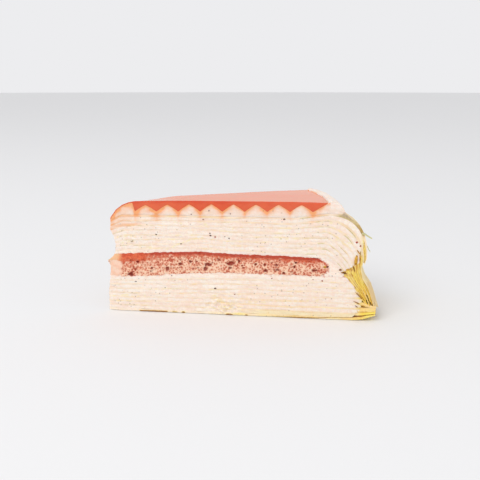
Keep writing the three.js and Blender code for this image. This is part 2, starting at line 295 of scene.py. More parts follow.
class Wire:   # one output of a node, ready for maths
    def __init__(self, look, socket):
        self.look, self.socket = look, socket

    def maths(self, operation, first, second):
        return self.look.node("ShaderNodeMath", {"operation": operation}, {0: first, 1: second})

    def __add__(self, other):
        return self.maths("ADD", self, other)

    def __sub__(self, other):
        return self.maths("SUBTRACT", self, other)

    def __rsub__(self, other):
        return self.maths("SUBTRACT", other, self)

    def __mul__(self, other):
        return self.maths("MULTIPLY", self, other)

    __radd__ = __add__
    __rmul__ = __mul__


class Look:   # one material and the nodes it is made of
    def __init__(self, name):
        self.material = bpy.data.materials.new(name)
        self.material.use_nodes = True
        self.tree = self.material.node_tree
        self.tree.nodes.clear()
        self.point = self.node("ShaderNodeTexCoord", {}, {}, "Object")

    def node(self, kind, settings, sockets, output=0):
        made = self.tree.nodes.new(kind)
        for key, value in settings.items():
            setattr(made, key, value)
        for key, value in sockets.items():
            if isinstance(value, Wire):
                self.tree.links.new(value.socket, made.inputs[key])
            else:
                made.inputs[key].default_value = value
        return Wire(self, made.outputs[output]) if len(made.outputs) else None

    def stretched(self, x, y, z):
        return self.node("ShaderNodeVectorMath", {"operation": "MULTIPLY"}, {0: self.point, 1: (x, y, z)})

    def grain(self, size, detail=2.0, roughness=0.5, vector=None):
        return self.node("ShaderNodeTexNoise", {}, {"Vector": vector or self.point, "Scale": 1 / size,
                                                    "Detail": detail, "Roughness": roughness}, "Fac")

    def cells(self, size, output="Distance", feature="F1", vector=None):
        return self.node("ShaderNodeTexVoronoi", {"feature": feature},
                         {"Vector": vector or self.point, "Scale": 1 / size}, output)

    def soft(self, value, low, high):   # 0 before low, 1 after high
        return self.node("ShaderNodeMapRange", {"interpolation_type": "SMOOTHSTEP"},
                         {"Value": value, "From Min": low, "From Max": high})

    def mix(self, mask, first, second):
        return self.node("ShaderNodeMix", {"data_type": "RGBA"}, {0: mask, 6: first, 7: second}, 2)

    def painted(self, name):
        return self.node("ShaderNodeAttribute", {"attribute_name": name}, {}, "Fac")

    def frayed(self, name, size, amount):   # a painted value with a ragged border
        return self.painted(name) + (self.grain(size, 3) - 0.5) * amount

    def bump(self, height, distance, strength):
        return self.node("ShaderNodeBump", {},
                         {"Height": height, "Distance": distance, "Strength": strength})

    def close(self, sockets):
        shader = self.node("ShaderNodeBsdfPrincipled", {}, sockets)
        self.node("ShaderNodeOutputMaterial", {}, {"Surface": shader})
        return self.material

    def closeMoist(self, colour, roughness, glow, depth, shine, more):   # light goes a little way into food
        return self.close({"Base Color": colour, "Roughness": roughness, "Subsurface Weight": glow,
                           "Subsurface Radius": depth, "Subsurface Scale": 0.5,
                           "Specular IOR Level": shine, **more})


creamTones = {
    "light": tone("feefe1"),
    "warm": tone("fbe0ce"),
    "combedLight": tone("f5e8de"),
    "combedWarm": tone("f2ddcc"),
    "stain": tone("f6a972"),
    "speck": tone("5f4030"),
    "crumb": tone("e39c88"),
    "yolky": tone("f8e4b0"),
    "golden": tone("f5d270"),
    "toasted": tone("c08530"),
    "seam": tone("d2c186"),
}


def specks(look, cell, radius, share):   # vanilla seeds, in a share of the cells
    flat = look.stretched(1.0, 0.15, 1.0)
    chance = look.soft(look.cells(cell, "Color", "F1", flat), 1 - share, 1 - share + 0.02)
    return look.soft(look.cells(cell, "Distance", "F1", flat), radius, radius * 0.55) * chance


def speckled(look, colour, share):   # many small and a few large
    colour = look.mix(specks(look, 0.0019, 0.17, share) * 0.45, colour, creamTones["speck"])
    return look.mix(specks(look, 0.0062, 0.07, share * 0.6) * 0.9, colour, creamTones["speck"])


def creamColour(look, light, warm):   # streaks left by the knife over soft blotches
    drag = look.grain(0.0011, 3, 0.6, look.stretched(0.22, 0.22, 1.0))
    blotch = look.grain(0.0013, 4, 0.75)
    broad = look.grain(0.011, 2)
    return look.mix(look.soft(drag * 0.3 + blotch * 0.5 + broad * 0.2, 0.42, 0.58), light, warm)


def knifeMarks(look, size, distance, strength):   # a bump of knife marks over curds
    drag = look.grain(size, 3, 0.6, look.stretched(0.2, 0.2, 1.0))
    return look.bump(drag * 0.4 + look.grain(0.0008, 4, 0.65) * 0.6, distance, strength)


def creamLook(name, light, warm, speckShare):
    look = Look(name)
    colour = creamColour(look, light, warm)
    colour = look.mix(look.painted("stain"), colour, creamTones["stain"])
    strands = look.soft(look.grain(0.0007, 3, 0.6, look.stretched(1.0, 1.0, 0.16)), 0.52, 0.62)
    golden = look.mix(strands * 0.8, creamTones["golden"], creamTones["toasted"])
    colour = look.mix(look.soft(look.painted("yellow"), 0, 0.4) * 0.8, colour, creamTones["yolky"])
    colour = look.mix(look.soft(look.frayed("yellow", 0.0012, 0.6), 0.35, 0.6), colour, golden)
    smear = look.soft(look.painted("brown") + look.grain(0.0009, 4, 0.7) * 1.4 - 0.9, 0.1, 0.4)
    colour = speckled(look, look.mix(smear, colour, creamTones["crumb"]), speckShare)
    return look.closeMoist(colour, 0.55, 0.2, (0.004, 0.0028, 0.002), 0.35,
                           {"Normal": knifeMarks(look, 0.0012, 0.0006, 0.8)})


# Yellow is the yolky side of a crepe, smear the cream left on it and specks its share of vanilla seeds.
crepeFinishes = {
    "paleCrepe": {"pale": "fae2c4", "cooked": "f5d5aa", "yellow": ("fde367", "f8ce4b"), "brown": "cf8526",
                  "smear": 0.6, "specks": 0.5},
    "rimCrepe": {"pale": "fae2c4", "cooked": "f5d5aa", "yellow": ("f6dea6", "edca8c"), "brown": "a5843a",
                 "smear": 0.4, "specks": 0.1},
    # tornCrepe: the skin's own yellow, and partly painted shade, its greyish olive being how the skin looks
    # in shade.
    "tornCrepe": {"pale": "e3d3ac", "cooked": "d9c594", "yellow": ("d3d2a2", "c6c592"), "brown": "a08c58",
                  "smear": 0, "specks": 0},
    "foldCrepe": {"pale": "ead4b0", "cooked": "dec79c", "yellow": ("e3c6b4", "dcbaa9"), "brown": "a08c58",
                  "smear": 0, "specks": 0},
    "baseCrepe": {"pale": "fdecd4", "cooked": "f8e0bc", "yellow": ("fde367", "f8ce4b"), "brown": "a86a2a",
                  "smear": 0.4, "specks": 0.5},
}


def crepeLook(name):
    finish = crepeFinishes[name]
    look = Look(name)
    broad = look.grain(0.009, 2)
    lace = look.cells(0.0034, "Distance", "SMOOTH_F1")
    spots = look.soft(look.grain(0.0022, 4, 0.65), 0.5, 0.68)
    yellow = look.painted("yellow")
    yolky = look.mix(look.soft(broad, 0.4, 0.6), *[tone(code) for code in finish["yellow"]])
    colour = look.mix(look.soft(broad, 0.35, 0.65), tone(finish["pale"]), tone(finish["cooked"]))
    colour = look.mix(finish["smear"], colour, creamColour(look, creamTones["light"], creamTones["warm"]))
    colour = look.mix(yellow, colour, yolky)
    browning = look.painted("brown") + spots * 0.25 * look.soft(lace, 0.2, 0.6) * yellow
    browning = browning + (look.grain(0.0011, 3) - 0.5) * 0.7 * look.soft(browning, 0.05, 0.3)
    browned = look.mix(yellow, creamTones["seam"], tone(finish["brown"]))
    colour = look.mix(look.soft(browning, 0.1, 0.95), colour, browned)
    colour = look.mix(look.painted("stain"), colour, creamTones["stain"])
    colour = speckled(look, colour, finish["specks"])
    return look.closeMoist(colour, 0.55, 0.15, (0.003, 0.002, 0.001), 0.35,
                           {"Normal": knifeMarks(look, 0.0014, 0.0005, 0.7)})


spongeTones = {
    # dark: the crumbs' own deeper pink, and partly painted shade in the hollows between them
    "dark": tone("bd5942"),
    "crumb": tone("e59d80"),
    "light": tone("fad3b6"),
    # pore: painted shade, the dark inside the open pores
    "pore": tone("8c3028"),
    "soaked": tone("d25a38"),   # with jam
    # painted shade, for the pores sunk into the cut face
    "poreShade": tone("9a3428"),
    "tip": (tone("fad5be"), tone("f8c8ac")),
}


def spongeColour(look):   # rounded crumbs with the odd open pore
    crumbs = look.grain(0.00065, 4, 0.75) * 0.65 + look.cells(0.0009) * 0.35
    lying = look.stretched(1.0, 0.3, 1.3)
    pores = look.soft(look.cells(0.0042, "Distance", "F1", lying), 0.22, 0.1)
    pores = pores * look.soft(look.cells(0.0042, "Color", "F1", lying), 0.35, 0.4)
    grade = crumbs * 0.7 + look.grain(0.004, 3) * 0.3
    # Partly painted shade: the crumb noise that raises the bump also lightens the colour, so the low spots
    # between crumbs are coloured darker.
    colour = look.mix(look.soft(grade, 0.395, 0.485), spongeTones["dark"], spongeTones["crumb"])
    colour = look.mix(look.soft(grade, 0.47, 0.56), colour, spongeTones["light"])
    # Painted shade: the open pores are coloured dark red-brown.
    return look.mix(pores * 0.8, colour, spongeTones["pore"]), crumbs - pores


def spongeLook():
    look = Look("pinkSponge")
    colour, height = spongeColour(look)
    soaked = look.soft(look.frayed("yellow", 0.0014, 1.4), 0.15, 0.8)
    colour = look.mix(soaked * 0.85, colour, spongeTones["soaked"])
    # Painted shade: the pores sunk into the cut face, and the low spots of the bump, are coloured darker.
    shadedPores = look.soft(look.painted("brown") + (height - 0.5) * 0.5, 0.1, 0.9)
    colour = look.mix(shadedPores * 0.88, colour, spongeTones["poreShade"])
    tip = look.mix(look.soft(look.grain(0.0022, 3), 0.35, 0.65), *spongeTones["tip"])
    colour = look.mix(look.soft(look.frayed("stain", 0.0012, 0.6), 0.2, 0.8), colour, tip)
    return look.closeMoist(colour, 0.8, 0.1, (0.003, 0.0015, 0.001), 0.2,
                           {"Normal": look.bump(height, 0.0006, 0.9)})


jamTones = {"line": tone("b6391f"), "thin": tone("eb9468"), "faded": tone("f3bf92")}
pulpTones = {   # of the jam, and of the crumbs and seeds that are made like it
    "berryJam": ("cd4f30", "e66e46"),
    "jamBit": ("7d2418", "b04a30"),
    "vanillaSeed": ("3c1c14", "6e3a26"),
    "toastedBit": ("5e380f", "a56f1f"),
    "goldenBit": ("a87420", "dca63c"),
}


def jamLook(name):
    look = Look(name)
    pulp = look.grain(0.0013, 4, 0.65)
    colour = look.mix(look.soft(pulp, 0.38, 0.62), *[tone(code) for code in pulpTones[name]])
    # The sponge's crumbs in the jam, with their painted shade in hollows and pores.
    crumbs, height = spongeColour(look)
    soaked = look.soft(look.grain(0.0014, 3), 0.24, 0.54) * 0.85
    crumbs = look.mix(soaked, crumbs, spongeTones["soaked"])
    colour = look.mix(look.soft(look.frayed("yellow", 0.0014, 1), 0.25, 0.6), colour, crumbs)
    line = look.soft(look.frayed("brown", 0.0011, 0.9), 0.25, 0.7)
    colour = look.mix(line * 0.85, colour, jamTones["line"])
    colour = look.mix(look.soft(look.painted("stain"), 0, 0.55), colour, jamTones["thin"])
    colour = look.mix(look.soft(look.painted("stain"), 0.45, 1), colour, jamTones["faded"])
    return look.closeMoist(colour, 0.5, 0.2, (0.004, 0.0015, 0.001), 0.35,
                           {"Normal": look.bump(pulp * 0.5 + height * 0.5, 0.0006, 0.8)})


jellyTones = {
    "clear": tone("dd603d"),
    "cloudy": tone("d75434"),
    "thin": tone("ee9470"),
    "edge": tone("cb4530"),
    # top: painted reflection, paler than the cut face for the backdrop its smooth top reflects at a low
    # angle
    "top": tone("ea8557"),
}


def jellyLook():
    look = Look("redJelly")
    cloud = look.grain(0.008, 3)
    colour = look.mix(look.soft(cloud, 0.3, 0.7), jellyTones["clear"], jellyTones["cloudy"])
    # The yellow paint marks the jelly's top, which is coloured paler as a painted reflection.
    for value, name in (("brown", "thin"), ("stain", "edge"), ("yellow", "top")):
        colour = look.mix(look.painted(value), colour, jellyTones[name])
    return look.closeMoist(colour, 0.16, 0.2, (0.006, 0.002, 0.001), 0.22,
                           {"IOR": 1.4, "Coat Weight": 0.06, "Coat Roughness": 0.06})


cream = creamLook("whippedCream", creamTones["light"], creamTones["warm"], 0.55)
combedCream = creamLook("whiteCream", creamTones["combedLight"], creamTones["combedWarm"], 0.2)
paleCrepe, rimCrepe, tornCrepe, foldCrepe, baseCrepe = [crepeLook(name) for name in crepeFinishes]
print("finishes ready")

layerMesh = {"spacing": 0.45, "across": 8, "creamThrough": 4, "crepeThrough": 3}
upperLayers = 20   # added to an upper crepe's number, so its noise is its own
edges = {
    "proud": 0.18,
    "spread": 2,   # the lowest crepes, fanned out past the stack
    "spreadLength": 11,
    "fan": [(0, 104, 0), (0.5, 109.6, 1.1), (1, 114.9, 2.3)],   # share of the fan, radius, height
    "fanSag": 0.55,
    "ruffle": 0.5,
    "droopLength": 9,
    "droops": {3: [(0, 106.5, 6.9), (0.33, 109.2, 6.3), (0.7, 112.6, 5.6), (1, 115.2, 5.3)],
               6: [(0, 105.0, 13.4), (0.33, 107.1, 11.4), (0.7, 109.1, 9.1), (1, 110.4, 7.4)]},
    "across": 40,
}
bottomCrepe = {
    "length": 114,
    "flatEnd": 100,
    "burnt": ((12, 25.7), (31, 33.5), (50.5, 54.6), (59, 61.2)),
    # Its brown line is real browning, raised towards the rim; the pale crepe it leaves below is a painted
    # reflection, for the glow under the edge.
    "rise": [(84, 0), (92, 0.45), (99, 0.75), (104, 1), (120, 1)],   # of its brown line, towards the rim
}
lowerStack = {"flatEnd": 93, "end": 103}   # between these the layers run into the stack's rounded end


def seam(w, r, z, s, layer):   # the cut shows a crepe as one thin, broken line
    strength = 0.8 * (1 - w) ** 2 + 0.2 * w ** 4
    broken = step(-0.2, 0.35, rough(r / 3.1 + shift(s), layer * 3.3, 2.2))
    clear = 0.64 + 0.35 * step(26, 8, r)
    if layer > upperLayers:
        clear += 0.8 * step(72, 95, r)   # clearest in the bend
    clear *= 0.9 + 0.9 * rough(r / 11 + shift(s), z / 3.1, layer * 4.7)   # and each crepe in its own places
    return strength * max(0, clear) * (0.2 + 0.8 * broken) * (1 - 0.8 * curdled(r, z))


def patchy(r, w, layer, s):   # where the cut leaves a crepe's yolky side showing
    return (1 - w) * 0.32 * step(0.15, 0.45, rough(r / 2.6 + shift(s), layer * 2.7, 6.6)) * step(2, 8, r)


def crepeEdge(w, r, s, layer):   # cut edges of crepes stand proud in places
    return edges["proud"] * math.sin(math.pi * w) * rough(r / 5 + layer * 3.7, s * 5, layer)


def fanPoint(rank, part, s):   # the lowest crepes' edges past the stack, part is 0 to 1
    r, lift = lineAt(edges["fan"], part)
    lift -= edges["fanSag"] * max(0, 1 - rank) * math.sin(math.pi * min(1, part * 1.1))
    ruffle = edges["ruffle"] * part * rough(s * 6 + rank * 3, part * 2, rank)
    r += part * (0.6 * flare(s) + 0.4 * fold(s)) + ruffle
    return r, max(0, lift + rank * blend(1.1, 0.62, part) + ruffle * 0.6 * min(1, rank + 0.3))


def lowerPoint(level, d, s):   # level: counted in pitches above the bottom crepe
    pitches, flatEnd, end = cake["lowerCrepes"] + 1, lowerStack["flatEnd"], lowerStack["end"]
    flat = blend(cake["bottomCrepe"], lineAt(spongeBottomLine, d), level / pitches)
    r = d
    if d > flatEnd:
        r = blend(flatEnd, lineAt(lowerEndLine, flat), min(1, (d - flatEnd) / (end - flatEnd)))
    inside = math.sin(math.pi * min(1, max(0, level / pitches)))
    lift = min(1, 8 * inside) * wave(r, s, level)
    uneven = 0.2 * rough(r / 9, level * 0.9 + 40, s * 2) + 0.22 * rough(r / 3.4, level * 0.7, s * 2)
    return r, flat + lift + uneven * inside


def makeBottomCrepe():
    length, flatEnd = bottomCrepe["length"], bottomCrepe["flatEnd"]

    def surface(u, w, s):
        d = u * length
        if d < flatEnd:
            r, z = d, w * cake["bottomCrepe"] * (1 + 0.3 * rough(d / 6, s * 3))
        else:
            r, z = fanPoint(w, (d - flatEnd) / (length - flatEnd), s)
        dash = sum(step(a, a + 1, r) * step(b, b - 1, r) for a, b in bottomCrepe["burnt"])
        dash += 0.6 * step(0.3, 0.5, rough(r / 5 + shift(s), 4.4))
        dash += 0.85 * step(60, 85, r) * (1 - 0.5 * step(106, 111, d))
        golden = 0.45 * step(36, 60, r) * (0.85 + rough(r / 6, s * 4)) + 0.5 * step(98, 108, d)
        rise = lineAt(bottomCrepe["rise"], r)
        # Near the rim the brown line rises, and the pale crepe below it stands in for a soft reflected
        # glow: painted reflection.
        line = blend(step(0.8, 0.2, w), math.exp(-((w - rise) / 0.22) ** 2), step(0, 0.4, rise))
        brown = min(1, dash) * line
        return r, z, cutRelief(r, z, s) + 0.05, brown, min(1, max(golden, brown))
    piece = wedge("bottomCrepe", surface, 260, 6, edges["across"])
    finishPiece(piece, baseCrepe, "browned_crepe", "bottom_crepe")


def spongeFloor(r, s):   # the sponge's crumbly underside
    side = shift(s, 20)
    sag = 0.55 * step(28, 14, r) + 0.25 * step(50, 60, r)
    crumbly = 0.5 * rough(r / 2.6 + side, 5) + 0.35 * rough(r / 0.9 + side, 8)
    return lineAt(spongeBottomLine, r) + 0.25 - sag + crumbly


def freePoint(n, past, w, s):   # a free edge of the lower half, past the stack
    if n in edges["droops"]:
        r, z = lineAt(edges["droops"][n], past)
        swing = past * (0.4 * flare(s) + 0.2 * fold(s)) + past * 0.5 * rough(s * 5, past * 2, n)
        lean, thick = (0.1, 2.1 - 1.3 * past) if n == 3 else (0.7, 0.9)
        return r + swing + thick * lean * w, z + thick * w
    return fanPoint(1.6 * n - 0.35 + (1.65 if n == 1 else 2.6) * w, past, s)


def lowerGold(n, isCrepe, r, z, w, s, past):   # the lower edges are yolky, most of all at the very bottom
    golden = 0.5 * step(107, 109.5, r)
    if isCrepe:
        golden = step(104.5, 110, r) * step(17, 9, z) * (0.85 if n == 3 else 1)
        golden = max(golden, patchy(r, w, n, s))
    golden = max(golden, 0.6 * crease(r, z, s))
    if n in (2, 3):
        golden *= 1 - 0.35 * step(0.15, 0.6, past)
    if n < 3:
        golden = max(golden, (0.35 * (1 - w) if isCrepe else 0.3 if n == 1 else 0) * step(50, 68, r))
    return golden


def makeLowerLayer(n, bottom, top, isCrepe):
    spread = isCrepe and n <= edges["spread"]
    droops = isCrepe and n in edges["droops"]
    free = edges["spreadLength"] if spread else edges["droopLength"] if droops else 0
    end = lowerStack["end"]
    underSponge = n == cake["lowerCrepes"] + 1

    def surface(u, w, s):
        d = u * (end + free)
        r, z = lowerPoint(blend(bottom, top, w), min(d, end), s)
        if underSponge:
            z += w * (spongeFloor(r, s) + 0.1 - lineAt(spongeBottomLine, r))
        past = max(0, d - end) / max(1, free)
        if past > 0 and free:
            farR, farZ = freePoint(n, past, w, s)
            freed = min(1, past * (3 if spread else 4))
            r, z = blend(r, farR, freed), blend(z, farZ, freed)
        out = cutRelief(r, z, s) + (crepeEdge(w, r, s, n) if isCrepe else 0)
        brown = 0.0
        if isCrepe:
            outline = (1 - w) ** 2 if n == 3 else abs(2 * w - 1) ** 3
            brown = 0.95 * outline * (0.7 + rough(past * 3, n, s)) if past > 0 else seam(w, r, z, s, n)
        if underSponge:
            brown = 0.75 * math.exp(-max(0, spongeFloor(r, s) - z) / 0.6) * step(-0.2, 0.3, rough(r / 4, 9))
        return r, z, out, brown, lowerGold(n, isCrepe, r, z, w, s, past)
    kind = "Crepe" if isCrepe else "Cream"
    piece = wedge(f"lower{kind}{n}", surface, int((end + free) / layerMesh["spacing"]),
                  layerMesh["crepeThrough"] if isCrepe else layerMesh["creamThrough"],
                  edges["across"] if free else layerMesh["across"], 1.5 if isCrepe else 0.8)
    finishPiece(piece, paleCrepe if isCrepe else cream, kind.lower(), f"lower_{kind.lower()}_{n}")


makeBottomCrepe()
for n in range(1, cake["lowerCrepes"] + 2):
    last = n == cake["lowerCrepes"] + 1
    creamTop = n if last else n - cake["crepeShare"]
    makeLowerLayer(n, n - 1, creamTop, False)
    if not last:
        makeLowerLayer(n, creamTop, n, True)
print("lower half made")

crumb = {
    "spacing": 0.32,
    "poreSize": 1.6,
    "poreDepth": 0.7,
    "widest": 24.9,   # height of the line on which the layer's end is measured
    "out": 0.15,
    "jamThick": [(0, 3), (25, 2.2), (40, 1.3), (120, 1.2)],   # over the radius
}
# Large open pores on the sponge's near cut, sunk into it and coloured dark as painted shade: radius,
# height, half length, half height.
openPores = [(25.6, 19.7, 0.9, 0.9), (31.4, 21.9, 0.8, 0.6), (12.3, 22.3, 0.6, 0.5), (8.9, 16.5, 1.2, 0.7),
             (18.6, 19.7, 0.5, 0.5), (35.7, 23.1, 0.6, 0.5), (43.5, 22.1, 1.5, 0.7), (42.3, 20.1, 0.9, 0.9),
             (53.3, 22.9, 1.6, 0.9), (57, 24, 0.5, 0.5), (64.1, 22.9, 0.5, 0.5), (68.5, 20.3, 0.8, 0.6),
             (68.1, 22.8, 0.5, 0.5), (80.6, 22.3, 0.5, 0.5), (81.2, 24.2, 0.5, 0.4), (89, 21, 1, 0.5),
             (76.1, 19.4, 0.6, 0.5)]


def spongeTop(r, s):   # a crumbly line, followed by the cream on it
    side = shift(s)
    return lineAt(spongeTopLine, r) + 0.3 * rough(r / 1.9 + side, 2.2) + 0.2 * rough(r / 0.8 + side, 5.5)


def poreAt(r, z, s):
    size = crumb["poreSize"]
    found = noise.voronoi(Vector((r / size + shift(s, 30), z / (size * 0.8), 0.5)))[0]
    hole = 0.8 * step(0.45, 0.12, found[0]) * step(-0.1, 0.35, rough(r / 3 + shift(s, 30), z / 2.4, 9))
    if s < 0:
        for poreR, poreZ, halfLong, halfHigh in openPores:
            if abs(r - poreR) < 3:
                off = math.hypot((r - poreR) / halfLong, (z - poreZ) / halfHigh)
                hole = max(hole, 1.2 * step(1.35, 0.6, off + 0.5 * rough(r / 0.7, z / 0.7)))
    return hole


def jamFloor(r, s):   # the jam has soaked unevenly into the sponge
    side = shift(s, 20)
    thick = lineAt(crumb["jamThick"], r) * (1 + 0.35 * rough(r / 3 + side, 2))
    return lineAt(spongeTopLine, r) - thick + 0.25 * rough(r / 1.1 + side, 6)


def crumbOut(r, z, s):
    return crumb["out"] + 0.3 * rough(r / 1.8, z / 1.8, s)


def spongePoint(u, w, low, high, s):   # between two surfaces of the layer, with its end rounded off
    widest = lineAt(spongeEndLine, crumb["widest"])
    r = u * widest
    z = blend(low(r, s), high(r, s), w)
    return r - u * (widest - lineAt(spongeEndLine, z)) * step(0.9, 1, u), z


def makeSponge():
    def surface(u, w, s):
        r, z = spongePoint(u, w, spongeFloor, jamFloor, s)
        smeared = step(6.6, 3.4, r + 1.1 * rough(z / 1.3, s * 3))   # cream over the sponge's end at the tip
        hole = poreAt(r, z, s) * step(1, 0.9, w) * (1 - smeared)
        depth = lineAt(spongeTopLine, r) - z
        inward = step(8, 26, r)   # at the tip the jam has soaked deeper
        soaked = math.exp(-max(0, depth - blend(2.9, 1.2, inward)) / blend(1.8, 1.3, inward))
        # The hole goes into the brown paint too, where the sponge's finish shows it as painted shade.
        return r, z, crumbOut(r, z, s) - crumb["poreDepth"] * hole, hole, soaked, smeared
    piece = wedge("sponge", surface, int(cake["spongeEnd"] / crumb["spacing"]), 26, 10)
    finishPiece(piece, spongeLook(), "sponge", "sponge")


def makeJam():
    def surface(u, w, s):
        r, z = spongePoint(u, w, jamFloor, spongeTop, s)
        crumbly = step(11, 24, r + 3 * rough(r / 2.2, z)) * step(1, 0.55, w)
        line = step(1.7, 0.7, lineAt(spongeTopLine, r) - z + 0.4 * rough(r / 2, 3.3))
        line *= blend(0.3, 1, step(12, 26, r))
        return r, z, crumbOut(r, z, s), line, crumbly, step(6.5, 1.3, r + 1.5 * rough(z / 1.5, s))
    piece = wedge("berryJam", surface, int(cake["spongeEnd"] / crumb["spacing"]), 5, 10)
    finishPiece(piece, jamLook("berryJam"), "berry_jam", "berry_jam")


# Cream that closes the sponge's end. Its top falls in a round curve from a radius to the waist.
rimCream = {"foot": 18.6, "waist": 20.47, "rise": 5.9, "curveStart": 93, "curveLength": 7.3, "power": 2.2,
            "end": 101.4}


def makeRimCream():
    power = rimCream["power"]
    lowest, highest = spongeEndLine[0][0], spongeEndLine[-1][0]

    def surface(u, w, s):
        r = blend(lineAt(spongeEndLine, blend(lowest, highest, w)), rimCream["end"], u)
        along = max(0, r - rimCream["curveStart"]) / rimCream["curveLength"]
        curve = max(0, 1 - along ** power) ** (1 / power)
        z = blend(rimCream["foot"], rimCream["waist"] + rimCream["rise"] * curve, w)
        return r, z, cutRelief(r, z, s), 0.5 * step(0.3, 0, u), 0
    finishPiece(wedge("rimCream", surface, 24, 16, 10), cream, "cream", "rim_cream")


makeSponge()
makeJam()
makeRimCream()
print("sponge made")

drape = {
    "flatEnd": 93.0,
    "innerStart": (93, 26.4),   # radius and height where the innermost crepe's bend starts
    "skinStart": (94, 45.6),
    "innerWaist": (100.3, 20.5),   # and where it ends
    "skinWaist": (110.6, 27),
    "innerLength": 9.5,   # along the bend
    "skinLength": 26.5,
    "innerPower": 1.3,   # how square the bend is
    "skinPower": 2.6,
    "hangSpan": 22,
    "hangLengths": (0.95, 0.8, 1, 0.7, 0.9, 0.96, 1, 0.1),   # of each crepe, in shares of that span
    "edgePitch": 0.14,   # how close the hanging edges lie, 1 is from inmost to outmost
    "flareInner": 1.5,
    "flareOuter": 4.6,
    "drop": 4.2,
    "pleats": 1.0,
    "ragged": 0.14,
    "filled": 1.02,   # how far down the cream still fills between the edges
    "across": 48,
}
# Where the inmost and the outmost edge hang: share of the way down, radius, height.
hangInner = [(0, 100.3, 20.5), (0.17, 102.9, 18.3), (0.37, 105.9, 14.8),
             (0.58, 108.4, 11.6), (0.78, 110.3, 8.9), (1, 111.4, 6.6)]
hangOuter = [(0, 110.6, 27), (0.17, 109.1, 22.9), (0.37, 109.6, 18.8),
             (0.58, 111.8, 15.2), (0.78, 113.1, 11.4), (1, 114.5, 6.6)]


def bendLength(t):
    return blend(drape["innerLength"], drape["skinLength"], t)


def flatPoint(t, d, s):   # t: 0 on the sponge, 1 on the skin. d: millimetres along
    inside = math.sin(math.pi * min(1, max(0, t)))
    lift = min(1, 8 * inside) * wave(d, s, 20 * t)
    lift += (0.22 * rough(d / 9, t * 7, s * 2) + 0.22 * rough(d / 3.4, t * 5.5 + 8, s * 2)) * inside
    lift += (1 - t) ** 8 * (spongeTop(d, s) - lineAt(spongeTopLine, d)) * step(93, 91, d)
    return d, blend(lineAt(spongeTopLine, d), lineAt(stackTopLine, d), t) + lift


def bentPoint(t, part, s):   # part: 0 where the bend starts, 1 at the waist
    startR, startZ = [blend(a, b, t) for a, b in zip(drape["innerStart"], drape["skinStart"])]
    waistR, waistZ = [blend(a, b, t) for a, b in zip(drape["innerWaist"], drape["skinWaist"])]
    angle = part * math.pi / 2
    power = blend(drape["innerPower"], drape["skinPower"], t ** 4)
    r = startR + (waistR - startR) * math.sin(angle) ** (2 / power)
    z = waistZ + (startZ - waistZ) * max(0, math.cos(angle)) ** (2 / power)
    uneven = 0.42 * math.sin(math.pi * t) * math.sin(math.pi * part) * rough(part * 4, t * 9, s * 2)
    return r + 0.9 * t * part * fold(s) + uneven, z + uneven


def upperPoint(t, run, reach, s):   # as far as reach, where the layer's middle is at the waist
    past = max(0, run - drape["flatEnd"]) / (reach - drape["flatEnd"])
    if past == 0:
        return (past, *flatPoint(t, run, s))
    return (past, *bentPoint(t, min(1, past + 1e-6 / bendLength(t)), s))


def hangPoint(t, tEnd, down, s, layer):   # a crepe's free edge below the waist
    share = blend(t, tEnd, down)
    innerR, innerZ = lineAt(hangInner, down)
    outerR, outerZ = lineAt(hangOuter, down)
    swing = 0.9 * t * (1 - down) * fold(s)
    swing += down ** 0.7 * blend(drape["flareInner"], drape["flareOuter"], share) * flare(s)
    pleat = drape["pleats"] * math.sin(math.pi * min(1, down * 0.9))
    pleat *= rough(s * 4.5 + layer * 0.6, down * 1.5, layer * 0.4)
    drop = drape["drop"] * down ** 2 * max(0, 2 * share - 1) * flare(s)
    swing += pleat * step(-1, -0.9, s)
    return blend(innerR, outerR, share) + swing, blend(innerZ, outerZ, share) - drop


def makeUpperCream(n):
    bottom, top = (n - 1) / cake["upperCrepes"], (n - cake["crepeShare"]) / cake["upperCrepes"]
    reach = drape["flatEnd"] + bendLength((bottom + top) / 2)
    span = reach + (drape["filled"] if n < cake["upperCrepes"] else 0.05) * drape["hangSpan"]
    lowEdge = (n - 2) * drape["edgePitch"] + 0.13 if n > 1 else -0.2
    highEdge = (n - 1) * drape["edgePitch"] + 0.01

    def surface(u, w, s):
        t, run = blend(bottom, top, w), u * span
        if run <= reach:
            past, r, z = upperPoint(t, run, reach, s)
            golden = step(0.45, 1, t) * step(0.99 - 0.5 * step(0.4, 1, t) ** 2, 1, past)
            return r, z, cutRelief(r, z, s), 0, golden
        down = (run - reach) / drape["hangSpan"]
        r, z = hangPoint(t, blend(lowEdge, highEdge, w), down, s, n - 0.5)
        return r, z, 0.35 * rough(z / 3, n, s) - 0.1, 0, step(-0.1, 0.12, down)
    piece = wedge(f"upperCream{n}", surface, int(span / layerMesh["spacing"]), layerMesh["creamThrough"],
                  layerMesh["across"], 0.8)
    finishPiece(piece, cream, "cream", f"upper_cream_{n}")


def bentTones(n, skin, outer, run, past, r, z, w, s):   # browning and yellowing from the tip to the waist
    layer = n + upperLayers
    yellow = step(96, 101, r) if outer else step(0.93 if n < 5 else 0.8, 1, past + 0.05 * rough(r, z))
    if n == 7:
        yellow *= max(0.25, step(-0.97, -0.85, s), step(0.85, 1, past))
    if skin:
        yellow *= blend(0.3 + 0.6 * step(42, 40, z) * step(35.5, 37, z), 1, step(-0.97, -0.8, s))
    if skin and run < 90:
        yellow = 0.7 * step(70, 30, r) * step(-0.05, 0.25, rough(r / 6 + shift(s), 3.3))
    brown = blend(seam(w, r, z, s, layer), 0.15, yellow) * (1 - 0.4 * past)
    if n in (5, 6):
        brown = max(brown, 0.75 * step(0.86, 0.97, past))
    if skin and s < -0.9:
        folded = step(97, 99, r) * step(35.5, 38, z)
        brown = max(brown, 0.7 * folded, 0.2 * step(31, 34, z) * step(39, 37, z))
    return brown, max(yellow, patchy(r, w, layer, s))


